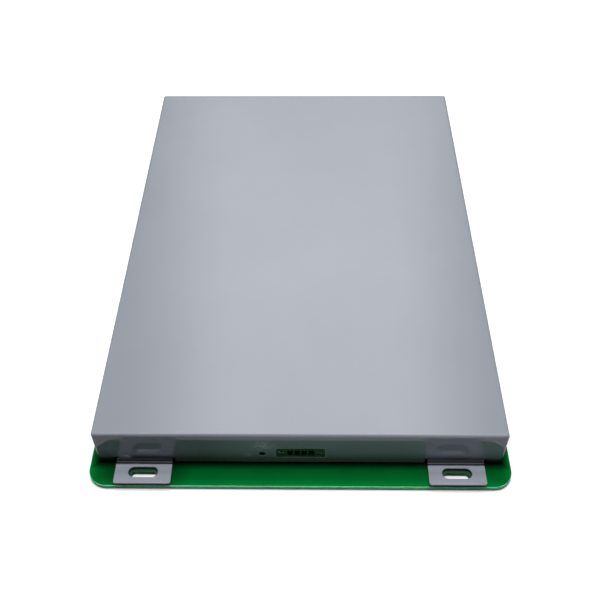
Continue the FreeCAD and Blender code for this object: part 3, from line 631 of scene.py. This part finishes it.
def paint_light_and_shade(f):
    """Painted light and shade, as a factor on the paint's colour: folds, foot of the walls, tabs, left
    to right, inside.
    """
    out = f.maths("SUBTRACT", f.maths("ABSOLUTE", f.axis("Y")), WALL_Y)
    side = f.maths("SUBTRACT", f.maths("ABSOLUTE", f.axis("X")), WALL_X)
    height = f.axis("Z")
    foot = f.span(height, WALL_BOTTOM + 1 * MM, WALL_BOTTOM + 12 * MM, FOOT_SHADE, 1.0)
    lip = f.span(height, WALL_BOTTOM + 3 * MM, WALL_BOTTOM, 1.0, LIP_LIGHT)
    fold = f.span(height, NOTCH_TOP + 1.5 * MM, NOTCH_TOP - 0.5 * MM, 1.0, FOLD_SHADE)
    tab_top = TAB_HIGH.z
    hollow = f.span(height, tab_top + 1.0 * MM, tab_top + 0.3 * MM, 1.0, HOLLOW_SHADE)
    beyond = f.span(out, 2.2 * MM, 2.8 * MM, 0.0, 1.0)
    tab = f.span(out, 3.0 * MM, 7 * MM, TAB_LIGHT, 1.0)
    from_middle = f.maths("ABSOLUTE", f.axis("X"))
    near_tab = f.span(from_middle, TAB_LOW.x - 0.2 * MM, TAB_LOW.x, 0.0, 1.0)
    across = f.span(f.axis("X"), RIGHT_START, RIGHT_FROM, 1.0, RIGHT_LIGHT)
    across = f.mixed(f.span(height, CASE_TOP - BEND, CASE_TOP - 0.3 * MM), across, 1.0)
    low = f.mixed(near_tab, lip, f.maths("MULTIPLY", fold, hollow))
    # painted highlight round the port
    low = f.maths("MULTIPLY", low, port_highlight(f))
    wall = f.maths("MULTIPLY", f.maths("MULTIPLY", foot, across), low)
    outside = f.mixed(beyond, wall, tab)
    inner = f.span(f.maths("MAXIMUM", out, side), -0.4 * MM, -0.2 * MM, INNER_SHADE, 1.0)
    under = f.span(height, CASE_TOP - 0.9 * MM, CASE_TOP - 0.7 * MM, 0.0, 1.0)
    return f.maths("MULTIPLY", outside, f.maths("MAXIMUM", inner, under))


def wall_zone(f):
    """1 on the walls and 0 on the top and the tabs."""
    height = f.axis("Z")
    below = f.span(height, CASE_TOP - 0.5 * MM, CASE_TOP - BEND)
    above = f.span(height, TAB_HIGH.z, NOTCH_TOP)
    return f.maths("MULTIPLY", below, above)


def port_highlight(f):
    """Painted highlight round the port: a factor on the paint's colour, lighter in patches close to
    its edge.
    """
    half_x, half_z = PORT_HIGH.x - PORT_X, PORT_HIGH.z - PORT_Z
    past_x = f.maths("ABSOLUTE", f.maths("SUBTRACT", f.axis("X"), PORT_X))
    past_z = f.maths("ABSOLUTE", f.maths("SUBTRACT", f.axis("Z"), PORT_Z))
    sides = [f.maths("SUBTRACT", past_x, half_x), f.maths("SUBTRACT", past_z, half_z)]
    near = f.span(f.maths("MAXIMUM", *sides), 0.6 * MM, 0.25 * MM)
    near = f.maths("MULTIPLY", near, f.maths("LESS_THAN", f.axis("Y"), 0.0))
    return f.mixed(near, 1.0, f.span(f.noise(5 * MM, 2), 0.35, 0.6, *PORT_HIGHLIGHT))


def residue_mask(f):
    """Pale marks, perhaps glue from a label or film: round the light's hole and at a tab."""
    flecks = f.span(f.noise(1.8 * MM, 5, 0.7), 0.40, 0.62)
    smear = f.near((LED_X + 0.7 * MM, -WALL_Y, LED_Z + 8 * MM), (1, 1, 1.7))
    drop_off = f.near((LED_X - 8 * MM, -WALL_Y, LED_Z - 1 * MM), (1, 1, 1.5))
    tab = (TAB_LOW.x + TAB_HIGH.x) / 2
    fold = f.near((-tab - 10 * MM, -WALL_Y, NOTCH_TOP + 1.5 * MM), (1, 1, 2.2))
    patches = f.span(smear, 8.5 * MM, 3 * MM)
    patches = f.maths("MAXIMUM", patches, f.span(drop_off, 3.5 * MM, 1 * MM, 0, 0.6))
    patches = f.maths("MAXIMUM", patches, f.span(fold, 4.5 * MM, 1.5 * MM, 0, 1.4))
    return f.maths("MULTIPLY", flecks, patches, clamp=True)


BOARD_GREEN = (0.0, 0.155, 0.026)
LAMINATE_IN_SHADE = (0.035, 0.075, 0.05)  # bare laminate round the slots, darkened as painted shade
WEAVE = 0.9 * MM  # pitch of the glass cloth
UNDER_CASE = 0.1  # painted shade on the board where it goes under the case
EDGE_LIGHT, FIELD_LIGHT = 1.05, 0.72  # painted light at its edge, and away from it
BESIDE_SHADE = 0.6  # painted shade round the left front tab


def solder_mask(name, colour, outer=False):
    """Glossy green solder mask over glass weave; the outer board also has its slots and painted light
    and shade.
    """
    f = Finish(name, colour, 0.35, Coat_Weight=0.02, Coat_Roughness=0.06, Specular_IOR_Level=0.0)
    cloud = f.noise(30 * MM, 3)
    light = tuple(1.12 * c + 0.002 for c in colour)
    dark = tuple(0.88 * c for c in colour)
    mask = f.blend(f.span(cloud, 0.3, 0.7), dark, light)
    if outer:
        # the outer board: painted light and shade by place, and the dark slot margins
        mask = f.blend(slot_rings(f), f.tint(mask, board_light_and_shade(f)), LAMINATE_IN_SHADE)
    f.set("Base Color", mask)
    f.set("Roughness", f.span(cloud, 0.2, 0.8, 0.3, 0.42))
    weave_x = f.maths("SINE", f.maths("MULTIPLY", f.axis("X"), math.tau / WEAVE))
    weave_y = f.maths("SINE", f.maths("MULTIPLY", f.axis("Y"), math.tau / WEAVE))
    f.relief(f.maths("MULTIPLY", weave_x, weave_y), 0.0008 * MM)
    f.relief(f.noise(5 * MM, 2), 0.004 * MM, coat=True)
    return f.material


def slot_rings(f):
    """The margin round each slot where the mask is pulled back from the laminate, in painted shade."""
    along = f.maths("SUBTRACT", f.maths("ABSOLUTE", f.axis("X")), SLOT_X)
    past = f.maths("MAXIMUM", f.maths("SUBTRACT", f.maths("ABSOLUTE", along), SLOT_HALF), 0.0)
    across = f.maths("SUBTRACT", f.maths("ABSOLUTE", f.axis("Y")), SLOT_Y)
    squares = [f.maths("MULTIPLY", side, side) for side in (past, across)]
    distance = f.maths("SQRT", f.maths("ADD", *squares))
    return f.span(distance, BOARD_SLOT_R + 2.1 * MM, BOARD_SLOT_R + 1.9 * MM)


def board_light_and_shade(f):
    """Painted light and shade on the board's green: dark beside the case, light near the board's edge.
    """
    across, along = [f.maths("ABSOLUTE", f.axis(name)) for name in ("X", "Y")]
    past_x, past_y = f.maths("SUBTRACT", across, WALL_X), f.maths("SUBTRACT", along, WALL_Y)
    from_x = f.maths("SUBTRACT", BOARD_HIGH.x, across)
    from_y = f.maths("SUBTRACT", BOARD_HIGH.y, along)
    shade = f.span(f.maths("MAXIMUM", past_x, past_y), 0.2 * MM, 4.2 * MM, UNDER_CASE, 1.0)
    edge = f.maths("MINIMUM", from_x, from_y)
    edge_light = f.span(edge, 1.0 * MM, 4.5 * MM, EDGE_LIGHT, FIELD_LIGHT)
    left_tab = f.near((-SLOT_X, -SLOT_Y, BOARD_TOP), (1, 1.6, 1))
    beside = f.span(left_tab, 18 * MM, 27 * MM, BESIDE_SHADE, 1.0)
    return f.maths("MULTIPLY", f.maths("MULTIPLY", shade, edge_light), beside)


def laminate_edge(name, light=1.0):
    """A routed face of the board: pale green glass laminate in thin layers, darker inside a slot as
    painted shade.
    """
    f = Finish(name, (0.25, 0.9, 0.5), 0.7, Specular_IOR_Level=0.2)
    layers = f.noise(0.16 * MM, 2, stretch=(0.05, 0.05, 1))
    fibre = f.noise(0.4 * MM, 3, stretch=(1, 1, 0.3))
    colour = f.blend(f.span(layers, 0.35, 0.65), (0.20, 0.85, 0.43), (0.29, 0.96, 0.56))
    colour = f.blend(f.span(fibre, 0.55, 0.75, 0, 0.5), colour, (0.42, 0.95, 0.65))
    f.set("Base Color", f.tint(colour, light))
    f.set("Subsurface Weight", 1.0)
    f.set("Subsurface Radius", (1.0, 1.5, 1.2))
    f.set("Subsurface Scale", 2.5 * MM)
    f.set("Roughness", f.span(fibre, 0.3, 0.7, 0.6, 0.85))
    f.relief(layers, 0.02 * MM)
    f.relief(fibre, 0.02 * MM)
    return f.material


def masked_copper():
    """Copper under solder mask: lighter and yellower than the bare board."""
    return solder_mask("loop_mask", (0.022, 0.235, 0.055))


def metal(name, colour, roughness, grain=0.8 * MM, stretch=(1, 1, 1), depth=0.002 * MM, dull=None):
    """A plated or bare metal with a fine grain and slightly uneven shine."""
    f = Finish(name, colour, roughness, metallic=1.0)
    cloud = f.noise(6 * MM, 3)
    fine = f.noise(grain, 2, stretch=stretch)
    dull = dull or tuple(0.8 * c for c in colour)
    f.set("Base Color", f.blend(f.span(cloud, 0.35, 0.7), colour, dull))
    f.set("Roughness", f.span(fine, 0.25, 0.75, 0.8 * roughness, 1.25 * roughness))
    f.relief(fine, depth)
    return f.material


def moulded(name, colour, roughness=0.5, grain=0.25 * MM, depth=0.004 * MM, **sockets):
    """Moulded plastic or compound with a fine spark-eroded grain."""
    f = Finish(name, colour, roughness, **sockets)
    cloud = f.noise(8 * MM, 3)
    fine = f.noise(grain, 2)
    light = tuple(min(1.0, 1.15 * c + 0.004) for c in colour)
    f.set("Base Color", f.blend(f.span(cloud, 0.3, 0.7), colour, light))
    f.set("Roughness", f.span(fine, 0.3, 0.7, 0.85 * roughness, min(1.0, 1.15 * roughness)))
    f.relief(fine, depth)
    return f.material


SLOT_FINISHES = {
    "case_paint": case_paint,
    "board_green": lambda: solder_mask("board_mask", BOARD_GREEN, outer=True),
    "loop_copper": masked_copper,
    "zinc_steel": lambda: metal("zinc_plate", (0.62, 0.63, 0.65), 0.32, dull=(0.5, 0.5, 0.48)),
    "reader_green": lambda: solder_mask("reader_mask", (0.0, 0.13, 0.05)),
    "terminal_green": lambda: moulded("terminal_plastic", (0.004, 0.075, 0.025), 0.42),
    "tinned": lambda: metal("tin_plate", (0.74, 0.74, 0.72), 0.28),
    "nickel": lambda: metal("nickel_plate", (0.31, 0.34, 0.32), 0.35, stretch=(1, 1, 0.2)),
    "led_lens": lambda: moulded("led_lens", (0.01, 0.05, 0.02), 0.3),
    "black_plastic": lambda: moulded("black_plastic", (0.015, 0.015, 0.016), 0.5),
    "chip_black": lambda: moulded("chip_compound", (0.022, 0.022, 0.024), 0.6, grain=0.12 * MM),
    "can_aluminium": lambda: metal("drawn_aluminium", (0.78, 0.79, 0.80), 0.3, stretch=(1, 1, 0.1)),
    "ferrite": lambda: moulded("ferrite", (0.05, 0.05, 0.053), 0.75, grain=0.4 * MM, depth=0.02 * MM),
    "trimmer_base": lambda: moulded("trimmer_ceramic", (0.62, 0.55, 0.40), 0.6, grain=0.3 * MM),
    "capacitor_tan": lambda: moulded("capacitor_ceramic", (0.36, 0.22, 0.11), 0.55),
    "coax_jacket": lambda: moulded("coax_jacket", (0.16, 0.06, 0.025), 0.3, Coat_Weight=0.5),
    "gold_plate": lambda: metal("gold_plate", (0.83, 0.60, 0.24), 0.2),
    "winding": lambda: metal("enamelled_wire", (0.62, 0.24, 0.10), 0.25),
}


def dress(obj, *materials):
    obj.data.materials.clear()
    for material in materials:
        obj.data.materials.append(material)


# ---- pieces -------------------------------------------------------------------------------------
LEVEL = 0.93  # least upright part of the normal of a face that has solder mask
ROUTED_IN = 3 * MM  # a cut face further in than this belongs to a slot or hole
CUT_FACE_SHADE = 0.3  # how light such a face is, as painted shade

finishes = {slot: make() for slot, make in SLOT_FINISHES.items()}
for row in frame["record"]["subparts"]:
    dress(frame["nodes"][row["node"]], finishes[row["material_slot"]])

shell = case_shell()
dress(shell, finishes["case_paint"])
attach(shell, "root")
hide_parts("shield_case")

plate = board_plate()
# the faces of the slots and holes get a painted-shade copy of the laminate
routed, shaded_cut_face = laminate_edge("board_edge"), laminate_edge("board_cut_shaded", CUT_FACE_SHADE)
dress(plate, finishes["board_green"], routed, shaded_cut_face)
for face in plate.data.polygons:
    x, y = abs(face.center.x), abs(face.center.y)
    inside = x < BOARD_HIGH.x - ROUTED_IN and y < BOARD_HIGH.y - ROUTED_IN
    face.material_index = 0 if abs(face.normal.z) > LEVEL else 2 if inside else 1
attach(plate, "root")
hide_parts("antenna_board")

track = copper_track()
dress(track, finishes["loop_copper"])
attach(track, "root")
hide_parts("antenna_loop")

for node, places in (("case_screws", CASE_SCREWS), ("spacer_screws", SPACER_SCREWS)):
    screws = screw_set(node + "_set", places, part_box(node)[1].z)
    dress(screws, finishes["zinc_steel"])
    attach(screws, "root")
    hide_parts(node)

for node in ("terminal_header", "rf_shield_lid", "service_header", "led_holder"):
    edges = frame["nodes"][node].modifiers.new("edges", "BEVEL")
    edges.width = 0.08 * MM
    edges.segments = 2
    edges.limit_method = "ANGLE"


# ---- floor, light and camera --------------------------------------------------------------------
FLOOR = 12.0  # half the floor's side
PAPER = (0.93, 0.93, 0.93)
PAPER_MIRRORED = (0.6, 0.6, 0.6)  # as the pad's gloss sees it
PAPER_BOUNCE = (0.17, 0.17, 0.17)  # as it lights the pad
PAPER_GLOW = 0.15
FLOOR_GAP = 0.05 * MM  # the pad stands just clear of the floor, so the two faces don't coincide
WELL_IN_X = 3 * MM  # edge of the opening under the pad, inside the board's edge
WELL_IN_Y = 12 * MM


def floor():
    """A plain pale floor with an opening under the pad, unseen from below.

    It answers differently to camera, mirror and diffuse rays, so that the walls stay in shade.
    """
    bm = bmesh.new()
    bmesh.ops.create_grid(bm, x_segments=3, y_segments=3, size=FLOOR)
    for vert in bm.verts:
        if abs(vert.co.x) < 0.5 * FLOOR:
            vert.co.x = math.copysign(BOARD_HIGH.x - WELL_IN_X, vert.co.x)
        if abs(vert.co.y) < 0.5 * FLOOR:
            vert.co.y = math.copysign(BOARD_HIGH.y - WELL_IN_Y, vert.co.y)
        vert.co.z = -FLOOR_GAP
    middle = min(bm.faces, key=lambda face: face.calc_center_median().length)
    bmesh.ops.delete(bm, geom=[middle], context="FACES_ONLY")
    plane = new_object("floor", bm)
    f = Finish("floor_paper", PAPER, 0.9)
    paper = f.blend(f.noise(0.4, 2), PAPER, (0.95, 0.95, 0.95))
    rays = f.add("LightPath").outputs
    mirrored = f.blend(rays["Is Glossy Ray"], paper, PAPER_MIRRORED)
    f.set("Base Color", f.blend(rays["Is Diffuse Ray"], mirrored, PAPER_BOUNCE))
    f.set("Emission Color", (1, 1, 1, 1))
    f.set("Emission Strength", f.maths("MULTIPLY", rays["Is Camera Ray"], PAPER_GLOW))
    seen_from_below = f.add("NewGeometry").outputs["Backfacing"]
    f.set("Alpha", f.maths("SUBTRACT", 1.0, seen_from_below))
    dress(plane, f.material)


class Sky:
    """The studio's surroundings, as patches of light by direction."""

    def __init__(self):
        self.world = bpy.data.worlds.new("studio")
        bpy.context.scene.world = self.world
        self.world.use_nodes = True
        self.tree = self.world.node_tree
        self.view = self.tree.nodes.new("ShaderNodeTexCoord").outputs["Generated"]
        split = self.tree.nodes.new("ShaderNodeSeparateXYZ")
        self.tree.links.new(self.view, split.inputs[0])
        self.x, self.y, self.z = split.outputs

    def join(self, value, socket):
        if isinstance(value, bpy.types.NodeSocket):
            self.tree.links.new(value, socket)
        else:
            socket.default_value = value

    def maths(self, operation, *values):
        node = self.tree.nodes.new("ShaderNodeMath")
        node.operation = operation
        for value, socket in zip(values, node.inputs):
            self.join(value, socket)
        return node.outputs[0]

    def fade(self, value, low, high, start=0.0, end=1.0, smooth=True):
        node = self.tree.nodes.new("ShaderNodeMapRange")
        node.interpolation_type = "SMOOTHSTEP" if smooth else "LINEAR"
        for item, socket in zip((value, low, high, start, end), node.inputs):
            self.join(item, socket)
        return node.outputs["Result"]

    def lobe(self, direction, inner, outer, strength):
        """A round soft patch about a direction, fading from the inner to the outer angle."""
        dot = self.tree.nodes.new("ShaderNodeVectorMath")
        dot.operation = "DOT_PRODUCT"
        self.join(self.view, dot.inputs[0])
        dot.inputs[1].default_value = Vector(direction).normalized()
        edges = [math.cos(math.radians(a)) for a in (outer, inner)]
        return self.fade(dot.outputs["Value"], *edges, 0.0, strength)

    def strip(self, inner, outer):
        """A soft upright strip behind the pad, brighter towards the top."""
        edges = [math.sin(math.radians(a)) for a in (outer, inner)]
        across = self.fade(self.maths("ABSOLUTE", self.x), *edges)
        behind = self.fade(self.y, 0.0, 0.2)
        height = self.fade(self.z, 0.42, 0.70, 0.7, 3.1, smooth=False)
        above = self.fade(self.z, 0.3, 0.42)
        place = self.maths("MULTIPLY", across, behind)
        return self.maths("MULTIPLY", place, self.maths("MULTIPLY", height, above))

    def shine(self, strength):
        """Lights the scene with strength, behind a pale backdrop for the camera."""
        rays = self.tree.nodes.new("ShaderNodeLightPath")
        pick = self.tree.nodes.new("ShaderNodeMix")
        self.join(rays.outputs["Is Camera Ray"], pick.inputs["Factor"])
        self.join(strength, pick.inputs["A"])
        pick.inputs["B"].default_value = 1.0
        background = self.tree.nodes["Background"]
        self.join(pick.outputs["Result"], background.inputs["Strength"])
        background.inputs["Color"].default_value = (1, 1, 1, 1)


OVERHEAD = 2.6  # strengths of the parts of the sky
AMBIENT = 0.02
FROM_BELOW = 0.6
BOX_Y = 0.1  # place, size and power of the softbox
BOX_Z = 1.7
BOX_SIZE = 1.2
BOX_WATTS = 25.0


def studio():
    """A softbox under a patch of sky, an upright strip mirrored in the top, and light from below."""
    sky = Sky()
    overhead = sky.lobe((0, 0.1, 1), 8, 26, OVERHEAD)
    patches = sky.maths("MAXIMUM", overhead, sky.strip(5, 13.5))
    below = sky.fade(sky.maths("MULTIPLY", sky.z, -1.0), 0.0, 0.1, 0.0, FROM_BELOW)
    sky.shine(sky.maths("ADD", sky.maths("ADD", patches, below), AMBIENT))
    data = bpy.data.lights.new("softbox", "AREA")
    data.shape = "DISK"
    data.size = BOX_SIZE
    data.energy = BOX_WATTS
    box = bpy.data.objects.new("softbox", data)
    box.location = (0, BOX_Y, BOX_Z)
    box.rotation_euler = (math.atan2(-BOX_Y, BOX_Z), 0, 0)
    box.visible_glossy = False
    bpy.context.scene.collection.objects.link(box)


EYE = (0.00625, -0.41311, 0.39799)
PITCH, YAW, ROLL = 46.381, -1.153, -0.701  # degrees
LENS, SENSOR = 50.76, 36.0  # millimetres


def camera():
    """The view from in front and above, with the lens and the small turns of the hand-held shot."""
    data = bpy.data.cameras.new("camera")
    data.sensor_width = SENSOR
    data.lens = LENS
    cam = bpy.data.objects.new("camera", data)
    bpy.context.scene.collection.objects.link(cam)
    pitch, yaw, roll = [math.radians(angle) for angle in (PITCH, YAW, ROLL)]
    level = math.cos(pitch)
    ahead = Vector((math.sin(yaw) * level, math.cos(yaw) * level, -math.sin(pitch)))
    right = Vector((math.cos(yaw), -math.sin(yaw), 0))
    up = right.cross(ahead)
    right, up = (
        math.cos(roll) * right + math.sin(roll) * up,
        math.cos(roll) * up - math.sin(roll) * right,
    )
    turn = Matrix((right, up, -ahead)).transposed()
    cam.matrix_world = Matrix.Translation(EYE) @ turn.to_4x4()
    bpy.context.scene.camera = cam


floor()
studio()
camera()
bpy.context.scene.view_settings.view_transform = "Standard"
